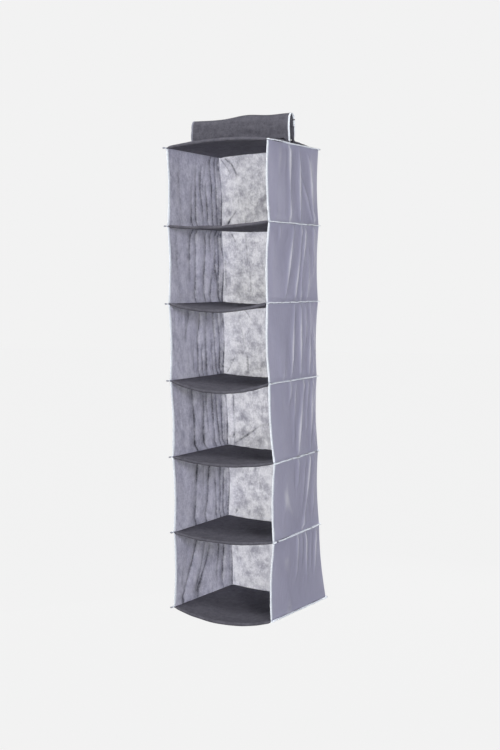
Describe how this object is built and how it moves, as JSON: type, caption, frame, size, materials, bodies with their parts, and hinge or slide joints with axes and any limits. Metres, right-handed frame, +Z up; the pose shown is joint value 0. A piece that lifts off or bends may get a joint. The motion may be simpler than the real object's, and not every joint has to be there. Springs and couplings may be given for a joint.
{
  "type": "hanging shoe organizer",
  "caption": "Collapsible fabric shoe organizer with open-fronted compartments, hung from a closet rail by a wide hook-and-loop band.",
  "frame": {"origin": "on the axis of the rail that the band closes round, at the middle of the band", "axes": "+X along the rail, +Y towards the closed back, +Z up; the open front faces -Y"},
  "size_m": [0.318, 0.295, 1.3241],
  "materials": {
    "wall_cloth": "thin spunbond non-woven, matte and translucent",
    "cover_cloth": "dark grey spunbond non-woven, matte",
    "binding_tape": "pale woven binding tape, matte",
    "stiffener_board": "raw greyboard",
    "fastening_tape": "hook-and-loop tape, dark grey"
  },
  "bodies": {
    "top": {"top_cover": "cover_cloth", "top_board": "stiffener_board", "top_seam_binding": "binding_tape", "tier_1_left_wall": "wall_cloth", "tier_1_left_edge_binding": "binding_tape", "tier_1_right_wall": "wall_cloth", "tier_1_right_edge_binding": "binding_tape", "tier_1_back_wall": "wall_cloth", "hanging_band": "cover_cloth", "band_end_bindings": "binding_tape", "anchor_leaf": "cover_cloth", "loop_tape": "fastening_tape"},
    "shelf_1": {"shelf_1_cover": "cover_cloth", "shelf_1_board": "stiffener_board", "shelf_1_seam_binding": "binding_tape", "tier_2_left_wall": "wall_cloth", "tier_2_left_edge_binding": "binding_tape", "tier_2_right_wall": "wall_cloth", "tier_2_right_edge_binding": "binding_tape", "tier_2_back_wall": "wall_cloth"},
    "shelf_2": {"shelf_2_cover": "cover_cloth", "shelf_2_board": "stiffener_board", "shelf_2_seam_binding": "binding_tape", "tier_3_left_wall": "wall_cloth", "tier_3_left_edge_binding": "binding_tape", "tier_3_right_wall": "wall_cloth", "tier_3_right_edge_binding": "binding_tape", "tier_3_back_wall": "wall_cloth"},
    "shelf_3": {"shelf_3_cover": "cover_cloth", "shelf_3_board": "stiffener_board", "shelf_3_seam_binding": "binding_tape", "tier_4_left_wall": "wall_cloth", "tier_4_left_edge_binding": "binding_tape", "tier_4_right_wall": "wall_cloth", "tier_4_right_edge_binding": "binding_tape", "tier_4_back_wall": "wall_cloth"},
    "shelf_4": {"shelf_4_cover": "cover_cloth", "shelf_4_board": "stiffener_board", "shelf_4_seam_binding": "binding_tape", "tier_5_left_wall": "wall_cloth", "tier_5_left_edge_binding": "binding_tape", "tier_5_right_wall": "wall_cloth", "tier_5_right_edge_binding": "binding_tape", "tier_5_back_wall": "wall_cloth"},
    "shelf_5": {"shelf_5_cover": "cover_cloth", "shelf_5_board": "stiffener_board", "shelf_5_seam_binding": "binding_tape", "tier_6_left_wall": "wall_cloth", "tier_6_left_edge_binding": "binding_tape", "tier_6_right_wall": "wall_cloth", "tier_6_right_edge_binding": "binding_tape", "tier_6_back_wall": "wall_cloth"},
    "base": {"base_cover": "cover_cloth", "base_board": "stiffener_board", "base_seam_binding": "binding_tape"},
    "flap": {"closing_flap": "cover_cloth", "hook_tape": "fastening_tape", "flap_end_bindings": "binding_tape"}
  },
  "joints": [
    {"name": "tier_1_fold", "type": "slide", "parent": "top", "child": "shelf_1", "axis": [0, 0, 1], "range_m": [0, 0.17], "deforming": ["tier_1_left_wall", "tier_1_left_edge_binding", "tier_1_right_wall", "tier_1_right_edge_binding", "tier_1_back_wall"]},
    {"name": "tier_2_fold", "type": "slide", "parent": "shelf_1", "child": "shelf_2", "axis": [0, 0, 1], "range_m": [0, 0.17], "deforming": ["tier_2_left_wall", "tier_2_left_edge_binding", "tier_2_right_wall", "tier_2_right_edge_binding", "tier_2_back_wall"]},
    {"name": "tier_3_fold", "type": "slide", "parent": "shelf_2", "child": "shelf_3", "axis": [0, 0, 1], "range_m": [0, 0.17], "deforming": ["tier_3_left_wall", "tier_3_left_edge_binding", "tier_3_right_wall", "tier_3_right_edge_binding", "tier_3_back_wall"]},
    {"name": "tier_4_fold", "type": "slide", "parent": "shelf_3", "child": "shelf_4", "axis": [0, 0, 1], "range_m": [0, 0.17], "deforming": ["tier_4_left_wall", "tier_4_left_edge_binding", "tier_4_right_wall", "tier_4_right_edge_binding", "tier_4_back_wall"]},
    {"name": "tier_5_fold", "type": "slide", "parent": "shelf_4", "child": "shelf_5", "axis": [0, 0, 1], "range_m": [0, 0.17], "deforming": ["tier_5_left_wall", "tier_5_left_edge_binding", "tier_5_right_wall", "tier_5_right_edge_binding", "tier_5_back_wall"]},
    {"name": "tier_6_fold", "type": "slide", "parent": "shelf_5", "child": "base", "axis": [0, 0, 1], "range_m": [0, 0.17], "deforming": ["tier_6_left_wall", "tier_6_left_edge_binding", "tier_6_right_wall", "tier_6_right_edge_binding", "tier_6_back_wall"]},
    {"name": "flap_open", "type": "hinge", "parent": "top", "child": "flap", "pos_m": [0, 0.0131, 0], "axis": [1, 0, 0], "range_deg": [0, 120]}
  ]
}
